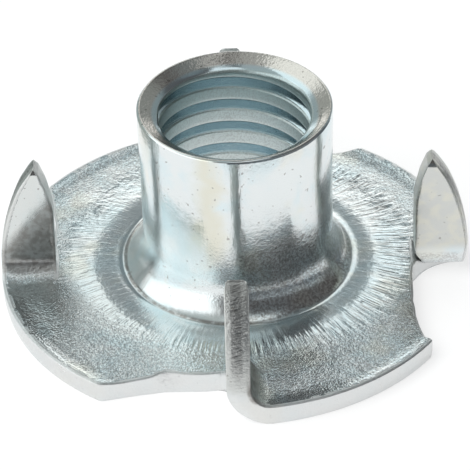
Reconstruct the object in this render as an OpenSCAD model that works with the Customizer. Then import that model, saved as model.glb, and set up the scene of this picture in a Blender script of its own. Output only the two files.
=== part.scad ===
// Four-prong tee nut, M8: a threaded barrel drawn up out of a round sheet-steel flange, with four
// prongs sheared from the rim and bent up beside it. One piece of zinc-plated steel.
// The origin is the middle of the flange's underside, and the barrel points up along +Z.

/* [Flange] */
// Diameter of the flange over the rim
flange_d = 22; // [20:0.5:26]
// Thickness of the sheet
sheet_t = 1.1; // [0.8:0.05:1.4]
// Radius of the rounded upper edge that blanking leaves round the rim
edge_roll_r = 0.2; // [0.1:0.05:0.35]
// Diameter inside which the flange rises towards the barrel
rise_d = 14; // [13:0.25:15]
// How far the flange has risen where it meets the barrel's flare
rise_h = 0.32; // [0.1:0.02:0.5]

/* [Barrel] */
// Outer diameter of the barrel
barrel_d = 9; // [8.6:0.1:9.6]
// Overall height, from the underside to the barrel's mouth
barrel_h = 9.9; // [8.5:0.1:14]
// Diameter of the bore at the crests of the thread
bore_d = 7; // [6.6:0.1:7.2]
// Radius of the flare by which the barrel's outside runs out onto the flange
flare_r = 4; // [2.5:0.25:5]
// Diameter where the flare ends in a crease on the flange
crease_d = 11.4; // [10.6:0.1:12]
// Radius of the funnel that drawing the barrel leaves in the underside
funnel_r = 3.5; // [2.5:0.1:4]
// Radius of the barrel's outer edge at the mouth
mouth_edge_r = 0.1; // [0.05:0.05:0.25]
// Included angle of the countersink in the mouth
countersink_angle = 120; // [90:5:130]

/* [Prongs] */
// Number of prongs round the rim
prong_count = 4; // [3:1:4]
// Height of the prong tips above the underside
prong_h = 7; // [5.5:0.25:8]
// Width of a prong at its foot, from the shear cut to the rim
prong_w = 2.6; // [2.2:0.1:3]
// Radius of a prong's tip, seen square to the prong
tip_r = 0.3; // [0.2:0.05:0.5]
// Radius that rounds the tip's two long edges, through the thickness
tip_edge_r = 0.4; // [0.2:0.05:0.45]
// Inner radius of the bend at the foot of a prong
bend_r = 0.9; // [0.4:0.1:1.2]
// Length of the straight part of the shear cut, past the prong's middle plane
shear_straight = 3.4; // [2.5:0.1:4]
// Radius of the flange's corner, where the shear cut runs out at the rim
corner_r = 0.5; // [0.3:0.1:0.8]
// Radius of the web that joins the shear cut to the fold, at the foot of a prong
web_r = 1.4; // [0.8:0.1:1.6]

/* [Hidden] */
$fn = 96;

// How far cuts run out past the rim, how far a joined part runs into its neighbour, and how far a
// rounding oversteps the edge that it touches, so that the two cross and leave no sliver.
past_rim = 3;
lap = 0.3;
eps = 0.001;

flange_r = flange_d / 2;
barrel_r = barrel_d / 2;
bore_r = bore_d / 2;
crease_r = crease_d / 2;
rise_r = rise_d / 2;

// The rise is a cone, which runs on under the flare. The flare is an arc that leaves the barrel's
// wall at its upper end and meets the cone at the crease.
crease_z = sheet_t + rise_h;
rise_slope = rise_h / (rise_r - crease_r);
flare_x = barrel_r + flare_r;
flare_z = crease_z + sqrt(pow(flare_r, 2) - pow(flare_x - crease_r, 2));

// The countersink runs from the inside of the mouth's edge down to the bore.
countersink_r = barrel_r - mouth_edge_r;
countersink_depth = (countersink_r - bore_r) / tan(countersink_angle / 2);

// A prong is part of the flat disc, folded up along the line y = fold_y. The disc's centre, as
// seen from the folded part, lies in the prong's middle plane at the height disc_z.
fold_y = bend_r + sheet_t / 2;
fold_z = bend_r + sheet_t;
fold_arc = fold_y * PI / 2;
disc_z = fold_z + fold_y - fold_arc;

// The rim hardly curves within the fold, so there it is straight, midway between its two ends.
fold_rim_start = sqrt(pow(flange_r, 2) - pow(fold_y, 2));
fold_rim_end = sqrt(pow(flange_r, 2) - pow(fold_z - disc_z, 2));
fold_rim_x = (fold_rim_start + fold_rim_end) / 2;

// The tip is a circle that touches the rim from inside. From the end of its straight part the
// shear cut turns outwards, at the angle at which it touches the tip's circle.
shear_x = flange_r - prong_w;
tip_z = prong_h - tip_r;
tip_x = sqrt(pow(flange_r - tip_r + eps, 2) - pow(tip_z - disc_z, 2));
slant_z = disc_z + shear_straight;
to_tip = [tip_x - shear_x, tip_z - slant_z];
slant_angle = atan2(to_tip.x, to_tip.y) - asin(tip_r / norm(to_tip));

// What rounding by r takes off a square corner of a section. The corner points to the upper
// right, and turn points it elsewhere.
module corner_waste(x, z, r, turn = 0) {
    translate([x, z]) rotate(turn) translate([-r, -r]) difference() {
        square(r + lap);
        circle(r);
    }
}

// Half section of everything that is round: the flange, its rise, and the barrel with its funnel.
module body_section() {
    difference() {
        polygon([[bore_r, 0], [flange_r, 0], [flange_r, sheet_t], [rise_r, sheet_t],
                 [barrel_r, sheet_t + (rise_r - barrel_r) * rise_slope], [barrel_r, barrel_h],
                 [countersink_r, barrel_h], [bore_r, barrel_h - countersink_depth]]);
        corner_waste(flange_r, sheet_t, edge_roll_r);
        corner_waste(barrel_r, barrel_h, mouth_edge_r);
        corner_waste(bore_r, 0, funnel_r, 180);
    }
    difference() {
        polygon([[barrel_r - lap, sheet_t], [crease_r + lap, sheet_t], [crease_r + lap, flare_z],
                 [barrel_r - lap, flare_z]]);
        translate([flare_x, flare_z]) circle(flare_r);
    }
}

// Section of the sheet near the rim, with its rolled upper edge.
module sheet_section(inner_r, outer_r) {
    difference() {
        polygon([[inner_r, 0], [outer_r, 0], [outer_r, sheet_t], [inner_r, sheet_t]]);
        corner_waste(outer_r, sheet_t, edge_roll_r);
    }
}

// What one prong leaves open in the flange, as seen from above: the blank that was folded up, and
// the waste at the corner where the cut runs out at the rim.
module notch_outline() {
    cut = [sin(slant_angle), -cos(slant_angle)];
    outwards = [cos(slant_angle), sin(slant_angle)];
    bend = [shear_x, -shear_straight];
    cut_end = bend + cut * flange_r;
    difference() {
        polygon([[shear_x, fold_y], bend, cut_end, [2 * flange_r, cut_end.y], [2 * flange_r, fold_y]]);
        corner_waste(shear_x, fold_y, web_r, 90);
    }

    // The corner's circle lies corner_r inside both the cut and the rim.
    start = bend - (corner_r - eps) * outwards;
    run = sqrt(pow(cut * start, 2) - start * start + pow(flange_r - corner_r + eps, 2)) - cut * start;
    centre = start + run * cut;
    touch = centre + corner_r * outwards;
    outside = 1 + past_rim / flange_r;
    difference() {
        polygon([centre, touch, outside * touch, outside * centre]);
        translate(centre) circle(corner_r);
    }
}

// The blank after folding, seen square to the prong: straight up from the foot, then along the
// angled part of the cut to the rounded tip, and back down outside the rim.
module prong_outline() {
    tip = [tip_x, tip_z];
    towards_rim = (tip - [0, disc_z]) / norm(tip - [0, disc_z]);
    touch = tip + (tip_r - eps) * [-cos(slant_angle), sin(slant_angle)];
    polygon([[shear_x, fold_z], [shear_x, slant_z], touch, tip, tip + past_rim * towards_rim,
             [flange_r + past_rim, fold_z]]);
    translate(tip) circle(tip_r);
}

// The upright part of a prong: the outline cut from a disc that stands on edge, its tip rounded.
module prong_blade() {
    difference() {
        intersection() {
            translate([0, -sheet_t / 2, disc_z]) rotate([-90, 0, 0])
                rotate_extrude() sheet_section(barrel_r, flange_r);
            translate([0, sheet_t, 0]) rotate([90, 0, 0]) linear_extrude(2 * sheet_t) prong_outline();
        }
        rotate([90, 0, 90]) linear_extrude(flange_r) {
            corner_waste(sheet_t / 2, prong_h, tip_edge_r);
            corner_waste(-sheet_t / 2, prong_h, tip_edge_r, 90);
        }
    }
}

// The quarter bend at the foot, turned about a radial line above the flange.
module prong_fold() {
    translate([0, fold_y, fold_z]) rotate([0, 90, 0]) rotate_extrude(angle = 90, start = -90)
        translate([fold_z, 0]) rotate(90) sheet_section(shear_x, fold_rim_x);
}

module tee_nut() {
    color("#c3c9cc") {
        difference() {
            rotate_extrude() body_section();
            for (i = [0 : prong_count - 1])
                rotate([0, 0, i * 360 / prong_count])
                    translate([0, 0, -lap]) linear_extrude(sheet_t + 2 * lap) notch_outline();
        }
        for (i = [0 : prong_count - 1])
            rotate([0, 0, i * 360 / prong_count]) {
                prong_blade();
                prong_fold();
            }
    }
}

tee_nut();
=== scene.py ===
import math

import bmesh
import bpy
import numpy as np
from mathutils import Matrix, Vector


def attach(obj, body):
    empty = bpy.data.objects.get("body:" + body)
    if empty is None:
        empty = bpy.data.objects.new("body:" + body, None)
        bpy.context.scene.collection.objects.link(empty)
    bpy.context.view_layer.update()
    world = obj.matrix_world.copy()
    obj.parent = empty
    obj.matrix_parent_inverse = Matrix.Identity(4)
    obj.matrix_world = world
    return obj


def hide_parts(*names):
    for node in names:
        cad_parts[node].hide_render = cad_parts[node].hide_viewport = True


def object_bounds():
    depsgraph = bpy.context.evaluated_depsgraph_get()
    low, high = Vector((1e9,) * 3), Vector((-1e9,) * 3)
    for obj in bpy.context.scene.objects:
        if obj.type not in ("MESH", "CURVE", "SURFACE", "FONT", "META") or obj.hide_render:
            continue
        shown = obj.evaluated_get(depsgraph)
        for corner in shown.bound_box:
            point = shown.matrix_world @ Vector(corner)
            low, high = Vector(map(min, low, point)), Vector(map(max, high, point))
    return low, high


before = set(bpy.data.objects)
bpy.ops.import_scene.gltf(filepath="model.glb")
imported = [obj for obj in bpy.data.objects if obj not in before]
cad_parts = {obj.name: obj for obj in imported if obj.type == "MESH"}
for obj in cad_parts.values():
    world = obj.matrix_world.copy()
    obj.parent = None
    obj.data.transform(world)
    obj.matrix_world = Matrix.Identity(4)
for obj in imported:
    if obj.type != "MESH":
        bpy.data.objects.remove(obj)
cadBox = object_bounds()

mm = 0.001


# rises from 0 to 1 with level ends: three t squared less two t cubed
def smooth(t):
    t = np.clip(t, 0, 1)
    return t * t * (3 - 2 * t)


# the same rise from a start over a width; a negative width turns it round
def ramp(value, start, over):
    return smooth((value - start) / over)


# points at a radius and an angle: the radius times cosine and sine
def polar(radius, degrees):
    a = np.radians(degrees)
    return np.stack([radius * np.cos(a), radius * np.sin(a)], -1)


# points turned about the axis: x and y mixed by the cosine and sine of the turn
def turned(xy, degrees):
    c, s = math.cos(math.radians(degrees)), math.sin(math.radians(degrees))
    return xy @ np.array([[c, s], [-s, c]])


# heights set beside flat points
def withHeight(xy, z):
    return np.concatenate([xy, np.broadcast_to(z, xy.shape[:-1])[..., None]], -1)


# an object that holds a mesh, a lamp or a camera, linked to the scene
def placed(name, data):
    thing = bpy.data.objects.new(name, data)
    bpy.context.scene.collection.objects.link(thing)
    return thing


# round body, in millimetres and degrees; pairs are where a change starts and over what width
body = {
    "height": cadBox[1].z / mm,
    "barrelR": 4.5,
    "offCentre": (0.16, 0.06, 0.0),    # the punch stood this far to one side
    "offFade": (5.9, 1.2),
    "swell": 0.03,                     # share of the sheet's thickness gained on -X and lost on +X
    "swellStart": (5.1, 1.9),
    "swellEnd": (9.2, -2.2),
    "swellBelow": 1.6,
    "swellAllR": 7.5,
    "waist": 0.05,                     # how much slimmer the drawn wall is below the mouth
    "waistFrom": 9.2,
    "waistTo": 6.2,
    "mouthEdge": 0.12,
    "underMouth": (0.03, 0.3),         # the wall's first two rows below the mouth's edge
    "countersinkAngle": 120,
    "flareR": 2.4,
    "creaseR": 5.3,
    "creaseZ": 1.34,
    "creaseReach": (0.13, 0.5),        # the crease's rounding to either side, crisp and soft
    "softMiddle": 60,                  # where it is softest, and how far round that goes
    "softHalf": 155,
    "sheet": 1.1,
    "funnelR": 3.5,
    "coarseRing": 7.2,                 # where the round body hands over to the flange
    "fineRing": 7.45,
    "slopeR": (5.3, 5.43, 5.53, 5.6, 5.75, 5.95, 6.25, 6.85, 7.4, 8.3, 9.2, 9.95, 10.2, 10.35, 10.5, 11.2),
    "slopeDeg": (11.0, 10.0, -3.0, -4.5, -4.5, -0.5, 1.0, 11.0, 9.5, 3.0, 4.5, 5.5, -2.0, -4.0, -13.0, -14.0),
    "slopeEnd": 11.3,
    "slopeSteps": 561,
    "rows": {"sink": 9, "mouth": 7, "wall": 22, "flare": 25, "crease": 14, "flange": 26, "funnel": 12},
}

# coarse metric thread, right hand
thread = {
    "pitch": 1.25,
    "crestR": 3.5,
    "rootR": 4.0,
    "crestShare": 0.5,
    "flankShare": 0.231,
    "phase": 0.02,
    "rows": (0.03, 0.12, 0.24, 0.36, 0.455, 0.48, 0.495, 0.51, 0.53, 0.58, 0.63, 0.68, 0.712,
             0.732, 0.75, 0.768, 0.79, 0.83, 0.88, 0.93, 0.972, 0.99),
    "low": 1.68,
    "high": 9.7,
}

# notch and prong, in the frame of the prong that points along +X
prong = {
    "count": 4,
    "rimR": 11.0,
    "rimReach": 10.965,
    "rimTurnDeg": 5,                   # the rim's wall turns away from the fold over this angle
    "shearX": 8.4,
    "straightY": -3.4,
    "slantDeg": 12.06,
    "cornerCentre": (8.484, -6.188),
    "cornerR": 0.5,
    "concaveR": 1.0,
    "rootCrowd": 1.7,                  # how much the cut's columns crowd towards the fold
    "foldY": 1.45,
    "foldZ": 2.0,
    "openOver": 0.5,                   # the cut opens over this length beside the fold
    "levelOver": 1.5,                  # the flange's slope fades out of the prong over this length
    "narrow": 0.9,                     # edges shrink where the prong is narrower than this
    "tipZ": 6.94,
    "tipR": 0.3,
    "tipZone": 0.6,
    "tipEdge": (0.20, 0.24),           # the tip's faces and its inner edge come together over this length
    "tipBlunt": 6,
    "tipLean": 0.22,
    "tipCurve": 1.3,
    "tipOuterShare": 0.75,
    "tipLength": 1.15,
    "webR": 2.3,                       # the web that joins the cut to the fold's outside
    "webCentre": (10.6, -1.5),
    "webDeep": 0.9,
    "webSteps": (9, 4),                # rows of its level part and of its slanted part
    "webStart": (-1.0, 0.5),
    "webEnd": (2.1, -0.4),
    "slit": 0.02,
    "nick": 0.1,                       # where the slit tore at the end of the web
    "nickAt": 1.5,
    "nickWidth": 0.12,
    "pinch": 0.12,                     # how far the bend draws in the outer edge of the fold's outside
    "pinchStart": (0.0, 0.9),
    "pinchEnd": (2.4, -0.9),
    "rows": {"bend": 15, "blade": 24, "tip": 16},
}

# how far three of the cuts stand in from the straight shear line, or out where negative, at these places
cutPlaces = (-6.6, -5.9, -5.1, -4.4, -3.8, -2.8, -1.5, -0.3)
cutInset = {
    0: (0.10, 0.33, 0.36, 0.32, 0.20, 0.12, 0.10, 0.0),
    180: (0.0, 0.0, -0.05, -0.12, -0.18, -0.22, -0.22, -0.06),
    270: (0.0, 0.0, 0.0, -0.02, -0.06, -0.08, -0.1, 0.0),
}

# bulges that the shear left in a prong's cut, towards the upper face: prong, place, width to either side, depth
bulges = ((3, -3.3, 0.5, 0.8, 0.25),)

# edges left by blanking and by shearing: width of the roll, tight corner, lower corner, break
edges = {
    "rim": {"roll": 0.12, "tight": 0.06, "low": 0.05, "break": 0.07},
    "cut": {"roll": 0.10, "tight": 0.045, "low": 0.04, "break": 0.03},
    "slopeDeg": 33,
    "breakShare": 0.42,
    "breakCurve": 1.3,
    "rows": {"roll": 5, "tight": 5, "wall": 7, "low": 4},
    "patternGap": 50.0,                # each edge's pattern starts this far from the one before
}

faceRows = (15, 5)                     # upper and lower face, from the ring to the edge
columns = {"corner": 8, "slant": 14, "concave": 2, "straight": 24, "fold": 16, "rim": 40}
# columns of one period and the angles at which they meet the round body
ringKnots = {"column": (0, 8, 22, 24, 48, 49, 64, 104),
             "deg": (-36.11, -32.5, -19.5, -17.5, 9.8, 11.4, 21.0, 53.89)}

period = 360 / prong["count"]
foldFirst = sum(columns[k] for k in ("corner", "slant", "concave", "straight"))
rimFirst = foldFirst + columns["fold"]
perPeriod = rimFirst + columns["rim"]
ringAngle = np.interp(np.arange(perPeriod), ringKnots["column"], ringKnots["deg"])
ringAngles = np.concatenate([ringAngle + period * k for k in range(prong["count"])] + [[ringAngle[0] + 360]])


# the off-centre drawing: all within the crease moves over, less and less out to the flange, and the sheet's
# heights outside it shrink by the swell times x over the radius
def drawnOff(points):
    r = np.hypot(points[:, 0], points[:, 1])
    moved = points + np.array(body["offCentre"]) * (1 - ramp(r, *body["offFade"]))[:, None]
    onSheet = (points[:, 2] < body["swellBelow"]) | (r < body["swellAllR"])
    swell = ramp(r, *body["swellStart"]) * ramp(r, *body["swellEnd"]) * onSheet
    moved[:, 2] *= 1 - body["swell"] * swell * points[:, 0] / np.maximum(r, 1)
    return moved


# collects grids of points and their faces, in millimetres, to be merged into one closed mesh
class Shell:

    def __init__(self):
        self.points, self.tags, self.faces, self.size = [], [], [], 0

    # points with their tags; gives their numbers back in the grid's own shape
    def add(self, points, tags=(0, 0, 0)):
        flat = points.reshape(-1, 3)
        self.points.append(flat)
        self.tags.append(np.broadcast_to(tags, points.shape).reshape(-1, 3))
        self.size += len(flat)
        return np.arange(self.size - len(flat), self.size).reshape(points.shape[:-1])

    # neighbouring points in rows and columns make quads
    def grid(self, points, tags=(0, 0, 0)):
        i = self.add(points, tags)
        quads = np.stack([i[:-1, :-1], i[:-1, 1:], i[1:, 1:], i[1:, :-1]], -1)
        self.faces += quads.reshape(-1, 4).tolist()

    # a coarse line of points meets a line that has twice as many steps
    def seam(self, coarse, fine):
        c, f = self.add(coarse), self.add(fine)
        for corners in ((c[:-1], f[:-2:2], f[1:-1:2]), (c[:-1], f[1:-1:2], c[1:]), (c[1:], f[1:-1:2], f[2::2])):
            self.faces += np.stack(corners, -1).tolist()

    # one mesh in metres, with doubles merged and the faces turned outwards
    def mesh(self, name, mergeWithin):
        mesh = bpy.data.meshes.new(name)
        mesh.from_pydata((drawnOff(np.concatenate(self.points)) * mm).tolist(), [], self.faces)
        layer = mesh.attributes.new("finish", "FLOAT_VECTOR", "POINT")
        layer.data.foreach_set("vector", np.concatenate(self.tags).astype(np.float32).ravel())
        bm = bmesh.new()
        bm.from_mesh(mesh)
        bmesh.ops.remove_doubles(bm, verts=bm.verts, dist=mergeWithin * mm)
        bmesh.ops.dissolve_degenerate(bm, edges=bm.edges, dist=mergeWithin * mm / 10)
        bmesh.ops.recalc_face_normals(bm, faces=bm.faces)
        bm.to_mesh(mesh)
        bm.free()
        mesh.polygons.foreach_set("use_smooth", np.ones(len(mesh.polygons), bool))
        mesh.update()
        return mesh


# height of the flange's upper face: its slope, a broken line over the radius, summed outwards from the crease
def topHeight(r):
    steps = np.linspace(body["creaseR"], body["slopeEnd"], body["slopeSteps"])
    fall = np.tan(np.radians(np.interp(steps, body["slopeR"], body["slopeDeg"])))
    drop = np.concatenate([[0], np.cumsum((fall[1:] + fall[:-1]) / 2 * np.diff(steps))])
    return body["creaseZ"] - np.interp(r, steps, drop)


# how far a rounded edge reaches into the face: the roll and what the tight arc takes at the edge slope
def edgeWidth(roll, tight):
    return roll + tight * (1 - math.sin(math.radians(edges["slopeDeg"])))


# section of a cut edge, from the upper face down to the lower one, as inset from the wall and height: a parabola
# that falls to the edge slope, a tight arc into the wall, the wall with its break leaning in below, and a small
# arc into the lower face
def edgeRows(roll, tight, low, breakIn, top):
    slope, rows = math.radians(edges["slopeDeg"]), edges["rows"]
    roll, tight, low, breakIn, top = [np.asarray(v, float)[..., None]
                                      for v in np.broadcast_arrays(roll, tight, low, breakIn, top)]
    breakTop = edges["breakShare"] * top

    # inset of the break: a power of the depth below the break's top
    def leaning(z):
        return breakIn * np.clip(1 - z / breakTop, 0, 1) ** edges["breakCurve"]

    t = np.linspace(0, 1, rows["roll"] + 1)[:-1]
    rollIn = tight * (1 - math.sin(slope)) + roll * (1 - t)
    rollZ = top - roll * math.tan(slope) / 2 * t ** 2
    a = np.linspace(slope, math.pi / 2, rows["tight"] + 1)[:-1]
    arcIn = tight * (1 - np.sin(a))
    arcTop = top - roll * math.tan(slope) / 2
    arcZ = arcTop - tight * (math.cos(slope) - np.cos(a))
    wallTop = arcTop - tight * math.cos(slope)
    wallZ = wallTop + (low - arcTop + tight * math.cos(slope)) * np.linspace(0, 1, rows["wall"] + 1)[:-1]
    b = np.linspace(0, math.pi / 2, rows["low"])
    lowIn = leaning(low) + low * (1 - np.cos(b))
    lowZ = low * (1 - np.sin(b))
    return np.concatenate([rollIn, arcIn, leaning(wallZ), lowIn], -1), np.concatenate([rollZ, arcZ, wallZ, lowZ], -1)


# edge measures between the rim's and the cut's, by cut, that shrink to nothing where the edge is closed
def mixedEdge(cut, opened):
    return [(edges["rim"][k] + (edges["cut"][k] - edges["rim"][k]) * cut) * opened
            for k in ("roll", "tight", "low", "break")]


# one period of the flange's outline, counter-clockwise from the notch's corner at the rim: an arc at the corner,
# the slanted and the straight part of the cut, the fold line and the rim's arc; gives the points, the directions
# in which the wall faces, how much of a cut edge each is, and how open the edge is
def outline():
    p, n = prong, columns
    centre = np.array(p["cornerCentre"])
    rimAngle = math.degrees(math.atan2(centre[1], centre[0]))
    angle = np.linspace(rimAngle, p["slantDeg"], n["corner"] + 1)[:-1]
    corner = centre + polar(p["cornerR"], angle)
    slantStart = centre + polar(p["cornerR"], p["slantDeg"])
    bend = np.array([p["shearX"], p["straightY"]])
    reach = p["concaveR"] * math.tan(math.radians(p["slantDeg"] / 2))
    slantEnd = bend - polar(reach, p["slantDeg"] + 90)
    straightStart = bend + np.array([0, reach])
    root = np.array([p["shearX"], p["foldY"]])
    rimStart = np.array([math.sqrt(p["rimR"] ** 2 - p["foldY"] ** 2), p["foldY"]])

    # even steps from start to end, or steps that crowd towards the end by a power
    def line(start, end, steps, crowd=1.0):
        return start + (end - start) * (1 - (1 - np.linspace(0, 1, steps + 1)[:-1, None]) ** crowd)

    rimAngles = np.linspace(math.degrees(math.atan2(rimStart[1], rimStart[0])), rimAngle + period, n["rim"] + 1)[:-1]
    points = np.concatenate([corner, line(slantStart, slantEnd, n["slant"]),
                             [slantEnd, (slantEnd + straightStart + 2 * bend) / 4],
                             line(straightStart, root, n["straight"], p["rootCrowd"]),
                             line(root, rimStart, n["fold"]), polar(p["rimR"], rimAngles)])
    facing = np.concatenate([angle, np.full(n["slant"] + 1, p["slantDeg"]), [p["slantDeg"] / 2],
                             np.zeros(n["straight"] + n["fold"]),
                             rimAngles * ramp(rimAngles, rimAngles[0], p["rimTurnDeg"])])
    cut = np.concatenate([smooth(np.arange(n["corner"]) / n["corner"]),
                          np.ones(n["slant"] + n["concave"] + n["straight"] + n["fold"]), np.zeros(n["rim"])])
    opened = ramp(points[:, 1], p["foldY"], -p["openOver"])
    opened[:n["corner"]] = 1
    opened[-n["rim"]:] = 1
    return points, polar(1.0, facing), cut, opened


# how far the web's arc stands out from the straight cut, and the height of the bend's outside above it, both as
# the radius less the root of its square less the offset's square
def webReach(y):
    r, centre = prong["webR"], prong["webCentre"]
    up = np.clip(y - centre[1], 0, r)
    away = np.clip(prong["foldY"] - y, 0, prong["foldZ"] * prong["webDeep"])
    ceiling = prong["foldZ"] - np.sqrt(prong["foldZ"] ** 2 - away ** 2)
    return np.maximum(centre[0] - np.sqrt(r ** 2 - up ** 2) - prong["shearX"], 0), ceiling


# section of the cut where the web stands out: level from the upper face's edge to the cut, a straight line from
# there out to the bend's outside, and then straight down
def webRows(start, reach, ceiling, top, count):
    levelRows, outRows = prong["webSteps"]
    k = np.arange(count)
    level = np.clip(1 - k / levelRows, 0, 1)
    out = np.clip((k - levelRows) / outRows, 0, 1)
    down = np.clip((k - levelRows - outRows) / (count - 1 - levelRows - outRows), 0, 1)
    z = top[:, None] + (ceiling - top)[:, None] * out
    return start[:, None] * level - reach[:, None] * out, z * (1 - down)


# upper edge, lower edge and side of one period, before its turn about the axis: the outline moved in by the
# slit, the inset and the bulge, with the edge's section set on it
def flangePeriod(turn):
    points, facing, cut, opened = outline()
    roll, tight, low, breakIn = mixedEdge(cut, opened)
    onCut = (cut > 0) & (np.arange(perPeriod) < foldFirst)
    inset = np.interp(points[:, 1], cutPlaces, cutInset[turn]) if turn in cutInset else 0.0
    wall = points - facing * ((prong["slit"] * opened + inset * onCut) * cut)[:, None]
    bulge = np.zeros(perPeriod)
    for which, place, before, after, depth in bulges:
        away = points[:, 1] - place
        shape = np.exp(-(away / np.where(away < 0, before, after)) ** 2)
        bulge += depth * shape * onCut * opened * (which * period == turn)
    topXY = wall - facing * (edgeWidth(roll, tight) + bulge)[:, None]
    top = topHeight(np.hypot(topXY[:, 0], topXY[:, 1]))
    insets, heights = edgeRows(roll, tight, low, breakIn, top)
    insets = insets + bulge[:, None] * np.clip(heights / body["sheet"], 0, 1)
    reach, ceiling = webReach(points[:, 1])
    webIn, webZ = webRows(insets[:, 0], reach, np.minimum(ceiling, top), top, insets.shape[1])
    web = ramp(points[:, 1], *prong["webStart"])[:, None]
    web[:foldFirst - columns["straight"]] = 0
    web[foldFirst + 1:] = 0
    insets = insets + (webIn - insets) * web
    heights = heights + (webZ - heights) * web
    side = withHeight(wall[:, None] - facing[:, None] * insets[..., None], heights)
    side[:, 0, :2] = topXY

    # along the fold the faces' edges run straight from the slit's root to the rim's own edges
    q = np.linspace(0, 1, columns["fold"] + 1)[:-1, None]
    lowXY = side[:, -1, :2].copy()
    for edge in (topXY, lowXY):
        edge[foldFirst:rimFirst] = edge[foldFirst] + (edge[rimFirst] - edge[foldFirst]) * q
    return topXY, lowXY, side


# upper and lower face as fans of straight rows from a ring out to the edges, and the side between two folds as
# the edge's section carried along the outline
def addFlanges(shell):
    periods = [flangePeriod(k * period) for k in range(prong["count"])]
    ring = polar(body["fineRing"], ringAngles)
    for face, steps in enumerate(faceRows):
        edge = np.concatenate([turned(p[face], k * period) for k, p in enumerate(periods)] + [periods[0][face][:1]])
        xy = ring + (edge - ring) * np.linspace(0, 1, steps)[:, None, None]
        shell.grid(withHeight(xy, topHeight(np.hypot(xy[..., 0], xy[..., 1])) if face == 0 else 0.0))
    ends = []
    wallRow = edges["rows"]["roll"] + edges["rows"]["tight"]
    for k in range(prong["count"]):
        here, onward = periods[k][2][rimFirst:], periods[(k + 1) % prong["count"]][2][:foldFirst + 1]
        side = np.concatenate([withHeight(turned(here[..., :2], k * period), here[..., 2]),
                               withHeight(turned(onward[..., :2], (k + 1) * period), onward[..., 2])])
        # what the material needs on a cut edge: the distance run along it, the height through the sheet, and one
        run = np.cumsum(np.linalg.norm(np.diff(side[:, wallRow], axis=0), axis=1))
        along = np.concatenate([[0], run]) + edges["patternGap"] * k
        across = side[..., 2]
        tags = np.stack([np.broadcast_to(along[:, None], across.shape), across, np.ones_like(across)], -1)
        shell.grid(side, tags)
        ends.append(along[-1])
    return ends


# the flat blank folded up: s runs on from the fold line and h through the sheet, a quarter bend about a line at
# the fold's height, then straight up
def folded(x, s, h, turn):
    bendR = prong["foldZ"] - h
    arc = prong["foldY"] * math.pi / 2
    a = np.clip(s / prong["foldY"], 0, math.pi / 2)
    y = prong["foldY"] - bendR * np.sin(a)
    z = prong["foldZ"] - bendR * np.cos(a) + np.maximum(s - arc, 0)
    return withHeight(turned(np.stack([x, y], -1), turn), z)


# inner and outer edge of the blank at s: the straight and the slanted cut, and the rim's circle, each until it
# touches the tip's circle, and then that circle
def prongSides(s):
    arc = prong["foldY"] * math.pi / 2
    discZ = prong["foldZ"] + prong["foldY"] - arc
    slant = math.radians(prong["slantDeg"])
    tipZ = prong["tipZ"] - prong["tipR"]
    tipX = math.sqrt((prong["rimR"] - prong["tipR"]) ** 2 - (tipZ - discZ) ** 2)
    tipS = arc + tipZ - prong["foldZ"]
    y = prong["foldY"] - s
    inner = prong["shearX"] + np.maximum(prong["straightY"] - y, 0) * math.tan(slant)
    outer = np.minimum(np.sqrt(prong["rimR"] ** 2 - y ** 2), prong["rimReach"])
    half = np.sqrt(np.clip(prong["tipR"] ** 2 - (s - tipS) ** 2, 0, None))
    rimLean = math.atan2(tipZ - discZ, tipX)
    inner = np.where(s > tipS + prong["tipR"] * math.sin(slant), tipX - half, inner)
    outer = np.where(s > tipS + prong["tipR"] * math.sin(rimLean), tipX + half, outer)
    toTip = np.clip((tipS + prong["tipR"] - s) / prong["tipLength"], 0, 1)
    lean = prong["tipLean"] * (1 - toTip) ** prong["tipCurve"]
    half = np.minimum((outer - inner) / 2, lean)
    return inner + half, outer - half * prong["tipOuterShare"], tipS


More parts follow.
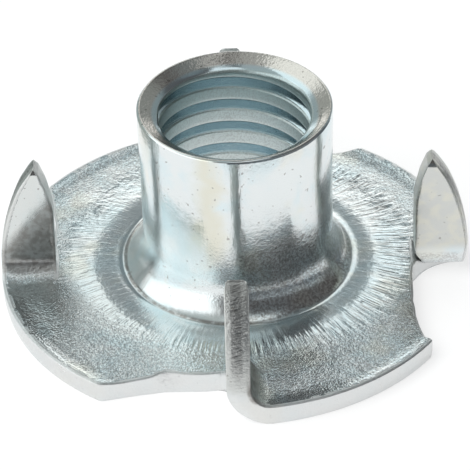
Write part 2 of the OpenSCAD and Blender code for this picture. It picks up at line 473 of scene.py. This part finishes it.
# a closed section, edges rounded, carried from the fold line through the bend to the tip, where it closes
def addProng(shell, turn, outerTag, innerTag):
    tipS = prongSides(np.zeros(1))[2]
    arc, rows, zone = prong["foldY"] * math.pi / 2, prong["rows"], prong["tipZone"]
    s = np.concatenate([np.linspace(0, arc, rows["bend"])[:-1], np.linspace(arc, tipS - zone, rows["blade"])[:-1],
                        tipS - zone + (zone + prong["tipR"]) * np.sin(np.linspace(0, math.pi / 2, rows["tip"]))])
    inner, outer, _ = prongSides(s)
    shrink = np.clip((outer - inner) / prong["narrow"], 0, 1)
    opened = ramp(s, 0.0, prong["openOver"])
    inner = inner + prong["slit"] * opened * shrink
    rim, cut = mixedEdge(0.0, shrink), mixedEdge(1.0, opened * shrink)
    rim[3] = rim[3] + prong["pinch"] * ramp(s, *prong["pinchStart"]) * ramp(s, *prong["pinchEnd"])
    topOuter, topInner = outer - edgeWidth(*rim[:2]), inner + edgeWidth(*cut[:2])
    q = np.linspace(0, 1, columns["fold"] + 1)
    flat = 1 - ramp(s, 0.0, prong["levelOver"])

    # the sheet's upper face: the flange's own height at the fold, levelled to the sheet's thickness further on
    def sheetTop(x):
        onFlange = topHeight(np.hypot(x, prong["foldY"]))
        return body["sheet"] + (onFlange - body["sheet"]) * (flat[:, None] if x.ndim > 1 else flat)

    outerIn, outerZ = edgeRows(*rim, sheetTop(topOuter))
    innerIn, innerZ = edgeRows(*cut, sheetTop(topInner))
    edgeCount = outerZ.shape[1]
    outsideY = prong["foldY"] - prong["foldZ"] * np.sin(np.clip(s / prong["foldY"], 0, math.pi / 2))
    reach, _ = webReach(outsideY)
    webIn, webZ = webRows(innerIn[:, 0], -reach, np.zeros_like(s), sheetTop(topInner), edgeCount)
    web = ramp(s, *prong["webEnd"])[:, None]
    innerIn = innerIn + (webIn - innerIn) * web
    innerZ = innerZ + (webZ - innerZ) * web
    nick = prong["nick"] * np.exp(-((s - prong["nickAt"]) / prong["nickWidth"]) ** 2)
    innerIn = innerIn + nick[:, None] * np.clip(1 - innerZ / body["sheet"], 0, 1)
    topX = topInner[:, None] + (topOuter - topInner)[:, None] * q
    lowOuter, lowInner = outer - outerIn[:, -1], inner + innerIn[:, -1]
    lowX = lowOuter[:, None] + (lowInner - lowOuter)[:, None] * q
    x = np.concatenate([topX, outer[:, None] - outerIn[:, 1:], lowX[:, 1:], inner[:, None] + innerIn[:, -2::-1]], -1)
    h = np.concatenate([sheetTop(topX), outerZ[:, 1:], np.zeros_like(lowX[:, 1:]), innerZ[:, -2::-1]], -1)
    toTip = np.clip((s[-1] - s) / prong["tipLength"], 0, 1)
    off = ((1 - toTip) ** prong["tipBlunt"])[:, None]
    h = off * prong["tipEdge"][0] + h * (1 - off * sum(prong["tipEdge"]) / body["sheet"])
    section = np.arange(x.shape[1])
    onOuter = (section > q.size - 2) & (section < q.size + edgeCount - 1)
    onEdge = onOuter | (section > x.shape[1] - edgeCount)
    along = np.where(section < x.shape[1] / 2, outerTag - s[:, None], innerTag + s[:, None])
    tags = np.stack([along, h, np.broadcast_to(onEdge, x.shape) * 1.0], -1)
    shell.grid(folded(x, np.broadcast_to(s[:, None], x.shape), h, turn), tags)


# the countersink's gain in radius for a height, and the height at which it leaves the bore
def countersink():
    cone = math.tan(math.radians(body["countersinkAngle"] / 2))
    return cone, body["height"] - (body["barrelR"] - body["mouthEdge"] - thread["crestR"]) / cone


# radius and height from the countersink over the mouth's edge, down the wall and the flare to the ring: arcs and
# lines, with a curve of second degree in the crease
def bodyProfile(reach):
    b, rows = body, body["rows"]
    cone, boreZ = countersink()
    sinkZ = np.linspace(thread["high"], b["height"], rows["sink"])
    sink = np.stack([thread["crestR"] + (sinkZ - boreZ) * cone, sinkZ], -1)
    edgeCentre = np.array([b["barrelR"] - b["mouthEdge"], b["height"] - b["mouthEdge"]])
    edge = edgeCentre + polar(b["mouthEdge"], np.linspace(90, 0, rows["mouth"]))[1:]
    flareX = b["barrelR"] - b["waist"] + b["flareR"]
    flareZ = b["creaseZ"] + math.sqrt(b["flareR"] ** 2 - (flareX - b["creaseR"]) ** 2)
    first, second = b["underMouth"]
    wallZ = np.concatenate([[edgeCentre[1] - first], np.linspace(edgeCentre[1] - second, flareZ, rows["wall"])])
    wallR = b["barrelR"] - b["waist"] * smooth((b["waistFrom"] - wallZ) / (b["waistFrom"] - b["waistTo"]))
    endA = math.degrees(math.asin((flareZ - b["creaseZ"]) / b["flareR"]))
    flareA = np.linspace(0, endA - math.degrees(reach / b["flareR"]), rows["flare"])[1:]
    flare = np.array([flareX, flareZ]) - polar(b["flareR"], flareA)
    start, middle = flare[-1], np.array([b["creaseR"], b["creaseZ"]])
    outR = b["creaseR"] + reach
    end = np.array([outR, topHeight(outR)])
    t = np.linspace(0, 1, rows["crease"])[1:, None]
    crease = start * (1 - t) ** 2 + 2 * middle * t * (1 - t) + end * t ** 2
    onR = np.linspace(outR, b["coarseRing"], rows["flange"])[1:]
    return sink, np.concatenate([sink[-1:], edge, np.stack([wallR, wallZ], -1), flare, crease,
                                 np.stack([onR, topHeight(onR)], -1)])


# the funnel's arc, which touches the underside and the bore: the bore's radius and the arc's, less the root of
# its square less the square of the height still to go
def funnelRadius(z):
    f = body["funnelR"]
    return thread["crestR"] + f - np.sqrt(np.clip(f ** 2 - (f - np.clip(z, 0, f)) ** 2, 0, None))


# crest, flank and root by the place within the pitch, cut back by the countersink above and the funnel below
def threadRadius(z, degrees):
    place = ((z / thread["pitch"] - degrees / 360 - thread["phase"]) % 1.0)
    middle = (1 + thread["crestShare"]) / 2
    reach = (1 - thread["crestShare"]) / 2
    depth = np.clip((reach - np.abs(place - middle)) / thread["flankShare"], 0, 1)
    radius = thread["crestR"] + (thread["rootR"] - thread["crestR"]) * depth
    cone, boreZ = countersink()
    return np.maximum(np.maximum(radius, thread["crestR"] + (z - boreZ) * cone), funnelRadius(z))


# a profile of radius and height at every angle
def revolved(profile, degrees):
    return withHeight(polar(profile[:, :1], degrees[None]), profile[:, 1:])


# the drawn barrel, seams to the flange's finer ring, the funnel below and the thread; the crease goes from crisp
# to soft by a smooth share of the angle from where it is softest
def addBody(shell):
    coarse = ringAngles[::2]
    (sink, crisp), (_, soft) = (bodyProfile(reach) for reach in body["creaseReach"])
    shell.grid(revolved(sink, coarse))
    away = np.abs((coarse - body["softMiddle"] + 180) % 360 - 180)
    softness = smooth(1 - away / body["softHalf"])[None, :, None]
    shell.grid(revolved(crisp, coarse) * (1 - softness) + revolved(soft, coarse) * softness)
    coarseXY, fineXY = polar(body["coarseRing"], coarse), polar(body["fineRing"], ringAngles)
    shell.seam(withHeight(coarseXY, topHeight(body["coarseRing"])), withHeight(fineXY, topHeight(body["fineRing"])))
    shell.seam(withHeight(coarseXY, 0.0), withHeight(fineXY, 0.0))
    f = body["funnelR"]
    a = np.radians(np.linspace(0, math.degrees(math.acos(1 - thread["low"] / f)), body["rows"]["funnel"]))
    funnel = np.stack([thread["crestR"] + f - f * np.sin(a), f - f * np.cos(a)], -1)
    shell.grid(revolved(np.concatenate([[[body["coarseRing"], 0.0]], funnel]), coarse))

    # the thread's rows follow its helix, with spare turns at both ends that close up on the rings there
    turnsUp = int((thread["high"] - thread["low"]) / thread["pitch"]) + 3
    place = (np.arange(-1, turnsUp)[:, None] + np.array(thread["rows"])).ravel() + thread["phase"]
    z = (place[:, None] + math.floor(thread["low"] / thread["pitch"]) + (coarse[None] - coarse[0]) / 360 - 1)
    z = (z + coarse[0] / 360) * thread["pitch"]
    z = np.clip(z, thread["low"], thread["high"])
    shell.grid(withHeight(polar(threadRadius(z, coarse[None]), coarse[None]), z))


shell = Shell()
cutEnds = addFlanges(shell)
for k in range(prong["count"]):
    addProng(shell, period * k, edges["patternGap"] * k, cutEnds[k - 1])
addBody(shell)
nutMesh = shell.mesh("teeNut", mergeWithin=0.001)
nut = placed("teeNut", nutMesh)
print("tee nut: %d faces, %d triangles" % (len(nutMesh.polygons), sum(len(f.vertices) - 2 for f in nutMesh.polygons)))


# short calls for the nodes of one tree; a value may be a number, a colour or another node's output
class Nodes:

    def __init__(self, tree):
        self.tree = tree
        tree.nodes.clear()

    # a node of any kind, its inputs by place or by name, and one of its outputs
    def put(self, kind, values=(), out=0, **settings):
        node = self.tree.nodes.new(kind)
        for name, value in settings.items():
            setattr(node, name, value)
        for key, value in (values.items() if isinstance(values, dict) else enumerate(values)):
            if isinstance(value, bpy.types.NodeSocket):
                self.tree.links.new(value, node.inputs[key])
            elif value is not None:
                node.inputs[key].default_value = value
        return node.outputs[out]

    # the three parts of a vector
    def parts(self, vector):
        node = self.tree.nodes.new("ShaderNodeSeparateXYZ")
        self.tree.links.new(vector, node.inputs[0])
        return node.outputs

    # what the tree gives out
    def end(self, kind, shader):
        self.tree.links.new(shader, self.tree.nodes.new(kind).inputs[0])

    # one step of arithmetic
    def math(self, operation, *values):
        return self.put("ShaderNodeMath", values, operation=operation)

    # a smooth rise between two values
    def span(self, value, low, high, toLow=0.0, toHigh=1.0):
        return self.put("ShaderNodeMapRange", (value, low, high, toLow, toHigh), interpolation_type="SMOOTHSTEP")

    # from colour a to colour b by a share
    def mixed(self, share, a, b):
        return self.put("ShaderNodeMix", {0: share, 6: a, 7: b}, 2, data_type="RGBA")

    # a fractal noise of a vector
    def noise(self, vector, scale, detail=2.0, roughness=0.5, distortion=0.0):
        return self.put("ShaderNodeTexNoise", {"Vector": vector, "Scale": scale, "Detail": detail,
                                               "Roughness": roughness, "Distortion": distortion})

    # the values added up
    def sum(self, *values):
        total = values[0]
        for value in values[1:]:
            total = self.math("ADD", total, value)
        return total

    # the values multiplied
    def times(self, *values):
        total = values[0]
        for value in values[1:]:
            total = self.math("MULTIPLY", total, value)
        return total


# a new material and its empty tree
def newMaterial(name):
    material = bpy.data.materials.new(name)
    material.use_nodes = True
    return material, Nodes(material.node_tree)


# zinc plate: its colours
finish = {
    "clean": (0.79, 0.825, 0.83, 1),
    "blue": (0.72, 0.81, 0.835, 1),
    "warm": (0.80, 0.79, 0.70, 1),
    "yellow": (0.74, 0.72, 0.61, 1),
    # dark brown for pits and specks, and also for painted shade in creases and a painted dark reflection
    "pitsAndPaintedShade": (0.24, 0.22, 0.20, 1),
    "turned": (0.72, 0.685, 0.64, 1),
    "flank": (0.64, 0.75, 0.79, 1),
    "crestHigh": (0.50, 0.60, 0.60, 1),
    "crestLow": (0.82, 0.89, 0.88, 1),
    # a darker, slightly warm grey: painted shade on the prongs
    "prong": (0.62, 0.63, 0.61, 1),
    "fracture": (0.20, 0.20, 0.20, 1),
    "cutFace": (0.73, 0.725, 0.72, 1),
}

# where each zone starts and where it is full, in millimetres from an axis or up from the underside
zones = {
    "flangeR": (5.4, 5.7), "flangeZ": (1.7, 1.35), "pressed": (6.4, 7.1),
    "ringInside": (6.7, 7.5), "ringOutside": (8.9, 7.8), "annulus": (7.2, 6.2), "outer": (7.6, 8.7),
    "wallInside": (4.3, 4.36), "wallOutside": (5.38, 5.25), "lowWall": (6.4, 4.6), "aboveFoot": (1.7, 2.3),
    "threadR": (4.12, 4.05), "threadZ": (9.62, 9.5), "crest": (3.62, 3.56), "crestDown": (9.0, 6.5),
    "sinkR": (4.44, 4.40), "sinkZ": (9.5, 9.62), "lip": (10.45, 10.6), "bulge": (1.4, 0.0),
    "grooveInside": (5.2, 5.3), "grooveOutside": (5.48, 5.36), "grooveZ": (1.6, 1.5), "grooveX": (4.0, -1.0),
    "prongR": (8.0, 8.2), "prongZ": (1.6, 2.2), "prongShadeAcross": (-8.0, 8.0), "rightProng": (0.0, 8.0),
    "bandHalf": (0.3, 0.18), "bandZ": (2.3, 3.6), "fractureR": (9.05, 9.3),
    "foldFace": (0.85, 1.0), "foldZ": (1.1, 1.5), "foldTop": (6.0, 5.0),
    "stainHalf": (0.95, 0.0), "stainY": (0.0, -2.0), "stainZ": (3.0, 5.2), "paintedReflectionX": (-0.2, 0.3), "paintedReflectionZ": (5.3, 4.5),
    "sheared": (0.3, 0.9), "toBack": (0.15, 0.75), "toRight": (-0.35, 0.3),    # by the edge's tag, sine and cosine
}

# places and stretches of single marks
marks = {
    "bulgeAt": (-6.9, 4.7),
    "radialWide": 36.0, "radialLong": 0.55,        # streaks out along the flange: across and along them
    "drawnWide": 9.0, "drawnLong": 0.35,           # streaks up the barrel
    "striaeWide": 12.0, "striaeLong": 1.8, "striaeSlant": 0.25,
    "frayedBy": 0.6,
    "ringShift": (0.25, 1.1),                      # how far the stretched ring lies over to the right and the back
    "foldLean": 1.2,
    "stainWander": 2.4, "stainOff": 0.05,
    "bandMiddle": 0.5, "tearMiddle": 0.5,
}

# noises: features in a millimetre or in a unit of their streaks, detail, roughness, distortion
patterns = {
    "grain": (6.0, 2.0, 0.55),
    "sand": (9.0, 1.0),
    "dimple": (14.0, 1.0, 0.5),
    "peel": (1.6, 2.0, 0.5),
    "cloud": (3.2, 3.0, 0.6),
    "patches": (0.45, 3.0, 0.6, 0.4),
    "warm": (0.35, 3.0),
    "pits": (4.0, 1.0),
    "frayed": (0.5, 2.0),
    "stretch": (1.0, 1.5, 0.6),
    "lines": (1.7, 1.0, 0.6),
    "streak": (1.0, 3.0, 0.6),
    "tear": (1.0, 3.0, 0.7, 0.8),
}

# between which values of a noise each of these comes in
contrasts = {
    "grain": (0.3, 0.7), "sand": (0.35, 0.65), "stretch": (0.32, 0.68), "lines": (0.52, 0.66),
    "pits": (0.70, 0.75), "patches": (0.4, 0.65), "warm": (0.55, 0.7), "speckle": (0.45, 0.62),
    "prongStain": (0.40, 0.68), "fracture": (-0.2, 0.1), "fold": (0.35, 0.65), "groove": (0.3, 0.6),
}

# relief in millimetres
depths = {
    "grain": 0.001, "grainOuter": 0.003, "grainSink": 0.002, "grainCut": 0.006,
    "sandWall": 0.002, "sandSink": 0.002, "sandOuter": 0.005,
    "peel": 0.006, "peelPressed": 0.012, "peelOuter": 0.014,
    "dimpleOuter": 0.013, "dimpleCrest": 0.012, "dimpleSink": 0.005,
    "bulge": 0.07, "stretch": 0.045, "stretchBack": -0.025, "stretchAnnulus": 0.004,
    "cloudBack": 0.05, "cloudAnnulus": 0.014, "streak": 0.012, "tear": 0.025,
}

# how much of a tint shows
shares = {
    "warm": 0.5, "stain": 0.8, "cutFace": 0.7, "prongStain": 0.45, "fold": 0.75, "paintedReflection": 0.5, "speckle": 0.22,
    "speckleSink": 0.5, "pits": 0.12, "pitsWall": 0.4, "outerSand": 0.32, "lines": 0.5,
}

# roughness of the clean plate, and what is added to it
clean = 0.09
added = {"outer": 0.08, "lowWall": 0.08, "sheared": 0.16, "fold": 0.18, "annulus": 0.09, "crest": 0.22,
         "patches": 0.08}

zinc, n = newMaterial("zincPlate")


# how far a value has come through a zone
def inZone(value, zone, toLow=0.0, toHigh=1.0):
    return n.span(value, *zones[zone], toLow, toHigh)


# how far a noise has come through its contrast
def comingIn(name, value, toLow=0.0, toHigh=1.0):
    return n.span(value, *contrasts[name], toLow, toHigh)


# one of the noises on a set of coordinates
def pattern(name, vector):
    return n.noise(vector, *patterns[name])


# distance from an axis: the root of the sum of the squares
def apart(sideX, sideY):
    return n.math("SQRT", n.math("ADD", n.times(sideX, sideX), n.times(sideY, sideY)))


# coordinates for streaks: the direction from the axis, drawn wide, and a third along the streak
def streaks(wide, third):
    return n.put("ShaderNodeCombineXYZ", (n.times(cosine, wide), n.times(sine, wide), third))


inMm = n.put("ShaderNodeMapping", {"Vector": n.put("ShaderNodeTexCoord", out="Object"),
                                   "Scale": (1 / mm, 1 / mm, 1 / mm)})
x, y, z = n.parts(inMm)
radius = apart(x, y)
cosine, sine = n.math("DIVIDE", x, radius), n.math("DIVIDE", y, radius)
radial = streaks(marks["radialWide"], n.times(radius, marks["radialLong"]))
drawn = streaks(marks["drawnWide"], n.times(z, marks["drawnLong"]))
# distance from the barrel's own axis, and from the middle of the bulge on the flange
own = apart(n.math("SUBTRACT", x, body["offCentre"][0]), n.math("SUBTRACT", y, body["offCentre"][1]))
fromBulge = apart(n.math("SUBTRACT", x, marks["bulgeAt"][0]), n.math("SUBTRACT", y, marks["bulgeAt"][1]))

# the tags of the cut edges: the distance along, the height through the sheet, and one on an edge
along, across, edge = n.parts(n.put("ShaderNodeAttribute", out="Vector", attribute_name="finish"))
sheared = inZone(edge, "sheared")
slanted = n.sum(along, n.times(across, marks["striaeSlant"]))
striae = n.put("ShaderNodeCombineXYZ", (n.times(slanted, marks["striaeWide"]),
                                        n.times(across, marks["striaeLong"]), edge))

# zones; the stretched ring reaches further out towards the back
onFlange = n.times(inZone(radius, "flangeR"), n.math("SUBTRACT", 1.0, sheared), inZone(z, "flangeZ"))
frayed = n.sum(radius, n.times(pattern("frayed", radial), marks["frayedBy"]))
pressed = n.times(onFlange, inZone(frayed, "pressed"))
outwards = n.math("SUBTRACT", radius, n.sum(n.times(cosine, marks["ringShift"][0]),
                                            n.times(sine, marks["ringShift"][1])))
ring = n.times(onFlange, n.times(inZone(frayed, "ringInside"), inZone(outwards, "ringOutside")))
outer = n.times(pressed, inZone(outwards, "outer", 0.1, 1.0))
annulus = n.times(onFlange, inZone(radius, "annulus"))
lip = inZone(radius, "lip", 1.0, 0.2)
toBack = inZone(sine, "toBack")
toRight = inZone(cosine, "toRight", 0.35, 1.0)
onWall = n.times(inZone(own, "wallInside"), inZone(own, "wallOutside"))
lowWall = n.times(onWall, inZone(z, "lowWall"))
inThread = n.times(inZone(own, "threadR"), inZone(z, "threadZ"))
crest = n.times(inThread, inZone(own, "crest"))
sink = n.times(inZone(own, "sinkR"), inZone(z, "sinkZ"))
onProng = n.times(inZone(radius, "prongR"), inZone(z, "prongZ"))
groove = n.times(inZone(own, "grooveInside"), inZone(own, "grooveOutside"), inZone(z, "grooveZ"))
# painted shade: the inner face of each prong's bend, from the flange up, darkened
foldTop = n.math("ADD", z, n.times(n.math("SUBTRACT", radius, prong["shearX"]), marks["foldLean"]))
fold = n.times(inZone(across, "foldFace"), n.times(inZone(z, "foldZ"), inZone(foldTop, "foldTop")))

# noises
grain = comingIn("grain", pattern("grain", inMm))
sand = comingIn("sand", pattern("sand", inMm))
dimple = pattern("dimple", inMm)
peel = pattern("peel", inMm)
cloud = pattern("cloud", inMm)
patches = pattern("patches", inMm)
stretch = comingIn("stretch", pattern("stretch", radial))
streak = pattern("streak", drawn)
tear = n.math("SUBTRACT", pattern("tear", striae), marks["tearMiddle"])

# relief
d = depths
height = n.sum(
    n.times(grain, n.sum(n.times(outer, d["grainOuter"]), n.times(sink, d["grainSink"]),
                         n.times(sheared, d["grainCut"]), d["grain"])),
    n.times(sand, n.sum(n.times(lowWall, inZone(z, "aboveFoot"), d["sandWall"]), n.times(sink, d["sandSink"]),
                        n.times(outer, d["sandOuter"]))),
    n.times(peel, n.sum(n.times(pressed, d["peelPressed"]), n.times(outer, d["peelOuter"]), d["peel"])),
    n.times(dimple, n.sum(n.times(outer, lip, d["dimpleOuter"]), n.times(crest, d["dimpleCrest"]),
                          n.times(sink, d["dimpleSink"]))),
    n.times(inZone(fromBulge, "bulge"), n.times(onFlange, d["bulge"])),
    n.times(stretch, n.times(toRight, ring, n.sum(d["stretch"], n.times(toBack, d["stretchBack"])))),
    n.times(cloud, n.times(toBack, ring, d["cloudBack"])),
    n.times(stretch, n.times(annulus, d["stretchAnnulus"])),
    n.times(cloud, n.times(annulus, d["cloudAnnulus"])),
    n.times(streak, n.times(onWall, d["streak"])),
    n.times(tear, n.times(sheared, d["tear"])))
relief = n.put("ShaderNodeBump", {"Height": height, "Distance": mm, "Strength": 1.0})

# where each tint shows
warm = n.times(comingIn("warm", pattern("warm", inMm)), shares["warm"])
stained = n.math("ABSOLUTE", n.sum(x, n.times(patches, marks["stainWander"]), marks["stainOff"]))
stain = n.times(inZone(stained, "stainHalf"), n.times(onWall, inZone(y, "stainY")))
prongStain = n.times(onProng, inZone(x, "rightProng"), comingIn("prongStain", peel, 0.0, shares["prongStain"]))
fromMiddle = n.math("ABSOLUTE", n.math("SUBTRACT", across, marks["bandMiddle"]))
band = n.times(inZone(fromMiddle, "bandHalf"), inZone(z, "bandZ"))
fracture = n.times(band, sheared, inZone(radius, "fractureR"))
# painted reflection: the flange's dark reflection low on the barrel's +X side, broken up by the sand noise
paintedReflection = n.times(lowWall, inZone(x, "paintedReflectionX"), inZone(z, "paintedReflectionZ"))
speckle = n.times(comingIn("speckle", dimple), n.sum(crest, n.times(sink, shares["speckleSink"])),
                  shares["speckle"])
pits = comingIn("pits", pattern("pits", inMm))
lines = comingIn("lines", pattern("lines", radial))
grooveShade = n.times(groove, inZone(x, "grooveX", 0.25, 1.0))
onCrest = n.mixed(inZone(z, "crestDown"), finish["crestHigh"], finish["crestLow"])

# tints, each laid over the ones before
tint = n.mixed(comingIn("patches", patches), finish["clean"], finish["blue"])
for share, colour in (
        (warm, finish["warm"]),
        (n.times(stain, inZone(z, "stainZ", 0.0, shares["stain"])), finish["yellow"]),
        (n.times(sheared, shares["cutFace"]), finish["cutFace"]),
        # painted shade: the prongs turned darker, fully on +X and partly on -X
        (n.times(onProng, inZone(x, "prongShadeAcross", 0.6, 1.0)), finish["prong"]),
        (prongStain, finish["yellow"]),
        (n.times(fracture, comingIn("fracture", tear, 1.0, 0.3)), finish["fracture"]),
        # painted shade inside the prongs' bends
        (n.times(fold, comingIn("fold", cloud, 1.0, 0.55), shares["fold"]), finish["pitsAndPaintedShade"]),
        # painted dark reflection low on the barrel's +X side
        (n.times(paintedReflection, n.times(sand, shares["paintedReflection"])), finish["pitsAndPaintedShade"]),
        (sink, finish["turned"]),
        (n.math("SUBTRACT", inThread, crest), finish["flank"]),
        (crest, onCrest),
        (speckle, finish["pitsAndPaintedShade"]),
        (n.times(pits, n.sum(shares["pits"], n.times(n.sum(onWall, onProng, sink), shares["pitsWall"]))),
         finish["pitsAndPaintedShade"]),
        (n.times(n.times(sand, n.times(outer, lip)), shares["outerSand"]), finish["pitsAndPaintedShade"]),
        (n.times(n.times(lines, ring), n.times(toRight, shares["lines"])), finish["pitsAndPaintedShade"]),
        (n.times(grooveShade, comingIn("groove", cloud, 0.35, 0.8)), finish["pitsAndPaintedShade"])):
    tint = n.mixed(share, tint, colour)

masks = {"outer": outer, "lowWall": lowWall, "sheared": sheared, "fold": fold, "annulus": annulus, "crest": crest,
         "patches": patches}
gloss = n.sum(clean, *(n.times(masks[name], amount) for name, amount in added.items()))
n.end("ShaderNodeOutputMaterial", n.put("ShaderNodeBsdfPrincipled", {
    "Base Color": tint, "Metallic": 1.0, "Roughness": gloss, "Normal": relief}))
nutMesh.materials.append(zinc)
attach(nut, "root")
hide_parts("tee_nut")
print("zinc plate done")

# floor: white paper that keeps a soft shadow, with one shade and glow for the camera and one for the metal
paperLook = {"size": 2.0, "below": 0.00001, "cameraShade": 0.35, "cameraGlow": 0.68, "mirrorShade": 0.4,
             "mirrorGlow": 0.6}
half = paperLook["size"] / 2
floorMesh = bpy.data.meshes.new("floor")
floorMesh.from_pydata([(-half, -half, 0), (half, -half, 0), (half, half, 0), (-half, half, 0)], [], [(0, 1, 2, 3)])
floor = placed("floor", floorMesh)
floor.location.z = -paperLook["below"]
paper, paperNodes = newMaterial("paper")


# a plain grey and a glow, added together
def paperSide(shade, glow):
    diffuse = paperNodes.put("ShaderNodeBsdfDiffuse", {"Color": (shade, shade, shade, 1)})
    emission = paperNodes.put("ShaderNodeEmission", {"Strength": glow})
    return paperNodes.put("ShaderNodeAddShader", (diffuse, emission))


isCamera = paperNodes.put("ShaderNodeLightPath", out="Is Camera Ray")
paperNodes.end("ShaderNodeOutputMaterial", paperNodes.put("ShaderNodeMixShader", (
    isCamera, paperSide(paperLook["mirrorShade"], paperLook["mirrorGlow"]),
    paperSide(paperLook["cameraShade"], paperLook["cameraGlow"]))))
floorMesh.materials.append(paper)

# cards on the floor: name, inner radius in millimetres, from and to in degrees round from the back, light
cards = (
    ("darkCard", 19, 55, 190, (0.12, 0.135, 0.15)),
    ("greyCard", 15.5, -88, -22, (0.36, 0.40, 0.385)),
)
cardLook = {"outer": 900, "steps": 32, "above": 0.00002}


# a card that only the metal sees: a sector of a ring, by cosine and sine of even steps
def studioCard(name, inner, fromDeg, toDeg, light):
    steps = cardLook["steps"]
    a = np.radians(90 - np.linspace(fromDeg, toDeg, steps + 1))
    ringPoints = np.stack([np.cos(a), np.sin(a)], -1)
    points = np.concatenate([ringPoints * inner, ringPoints * cardLook["outer"]]) * mm
    mesh = bpy.data.meshes.new(name)
    mesh.from_pydata(withHeight(points, cardLook["above"]).tolist(), [],
                     [(k, k + 1, k + steps + 2, k + steps + 1) for k in range(steps)])
    card = placed(name, mesh)
    for ray in ("camera", "diffuse", "shadow", "transmission", "volume_scatter"):
        setattr(card, "visible_" + ray, False)
    material, nodes = newMaterial(name)
    nodes.end("ShaderNodeOutputMaterial", nodes.put("ShaderNodeEmission", {"Color": (*light, 1)}))
    mesh.materials.append(material)


for card in cards:
    studioCard(*card)

# a large soft lamp from the front left, for the paper and its shadow
softLamp = {"size": 0.5, "energy": 2.4, "place": (-0.25, -0.2, 0.5)}
lampData = bpy.data.lights.new("softLamp", "AREA")
lampData.shape = "DISK"
lampData.size = softLamp["size"]
lampData.energy = softLamp["energy"]
lamp = placed("softLamp", lampData)
lamp.location = softLamp["place"]
lamp.rotation_euler = (-Vector(softLamp["place"])).to_track_quat("-Z", "Y").to_euler()
lamp.visible_glossy = False
print("floor, cards and lamp done")

# studio: soft areas of light by azimuth from the back to the right, and elevation, in degrees
# azimuth, half width, softness; elevation, half height, softness; light
base = (0.42, 0.45, 0.45, 1)
areas = (
    ("right", 110, 87, 8, 20, 90, 1, (0.115, 0.113, 0.115)),
    ("backRight", 36, 20, 8, 22, 22, 8, (0.27, 0.30, 0.30)),
    ("rightAbove", 60, 50, 15, 66, 12, 8, (0.20, 0.23, 0.24)),
    ("rightLine", 125, 42, 6, 5.5, 2.5, 2, (0.55, 0.61, 0.64)),
    ("frontLeft", -158, 7, 4, 20, 40, 10, (0.22, 0.22, 0.22)),
    ("leftAbove", -130, 60, 10, 54, 11, 6, (0.43, 0.47, 0.46)),
    ("backLeft", -52, 34, 6, 0, 28, 8, (0.37, 0.41, 0.40)),
    ("backLeftAbove", -51, 42, 4, 52, 19, 4, (1.06, 1.13, 1.12)),
    ("backMiddle", 0, 12, 3, 48, 24, 5, (0.21, 0.245, 0.255)),
    ("leftBox", -112, 42, 5, 14, 26, 5, (1.45, 1.5, 1.5)),
    ("frontAbove", 165, 30, 8, 57, 12, 5, (0.95, 0.98, 0.98)),
    ("backSheetLow", -10, 14, 5, -10, 20, 6, (1.35, 1.38, 1.36)),
    ("backSheet", 3, 17, 4, -10, 37, 3, (1.35, 1.38, 1.36)),
    ("backPanel", 22, 9, 3, 40, 14, 4, (1.05, 1.1, 1.1)),
    ("backPanelAbove", 18, 12, 3, 57, 6, 3, (1.05, 1.1, 1.1)),
    ("overhead", 120, 50, 20, 76, 6, 5, (0.55, 0.58, 0.58)),
)
world = bpy.data.worlds.new("studio")
bpy.context.scene.world = world
world.use_nodes = True
sky = Nodes(world.node_tree)
dx, dy, dz = sky.parts(sky.put("ShaderNodeTexCoord", out="Generated"))
azimuth = sky.math("DEGREES", sky.math("ARCTAN2", dx, dy))
elevation = sky.math("DEGREES", sky.math("ARCSINE", dz))
light = base
for _, az, azHalf, azSoft, el, elHalf, elSoft, tone in areas:
    sideways = sky.math("ABSOLUTE", sky.math("WRAP", sky.math("SUBTRACT", azimuth, az), 180.0, -180.0))
    upwards = sky.math("ABSOLUTE", sky.math("SUBTRACT", elevation, el))
    share = sky.times(sky.span(sideways, azHalf + azSoft, azHalf - azSoft),
                      sky.span(upwards, elHalf + elSoft, elHalf - elSoft))
    light = sky.mixed(share, light, (*tone, 1))
light = sky.mixed(sky.put("ShaderNodeLightPath", out="Is Camera Ray"), light, (1, 1, 1, 1))
sky.end("ShaderNodeOutputWorld", sky.put("ShaderNodeBackground", {"Color": light}))
print("studio done")

# camera: place in millimetres, turn down and roll in radians, lens and sensor in millimetres
view = {
    "location": (0.018, -124.795, 95.70),
    "down": 0.6413,
    "roll": -0.0269,
    "lens": 253.9531914893617,
    "sensor": 36,
    "nearest": 0.01,
}
up = np.array([0, math.sin(view["down"]), math.cos(view["down"])])
right = np.array([1.0, 0, 0])
cosRoll, sinRoll = math.cos(view["roll"]), math.sin(view["roll"])
rightward, upward = cosRoll * right + sinRoll * up, cosRoll * up - sinRoll * right
backward = np.array([0, -math.cos(view["down"]), math.sin(view["down"])])
cameraData = bpy.data.cameras.new("camera")
cameraData.sensor_width = view["sensor"]
cameraData.lens = view["lens"]
cameraData.clip_start = view["nearest"]
camera = placed("camera", cameraData)
turn = Matrix(np.stack([rightward, upward, backward], -1).tolist()).to_4x4()
camera.matrix_world = Matrix.Translation([c * mm for c in view["location"]]) @ turn
bpy.context.scene.camera = camera
bpy.context.scene.view_settings.view_transform = "Standard"
print("camera done")
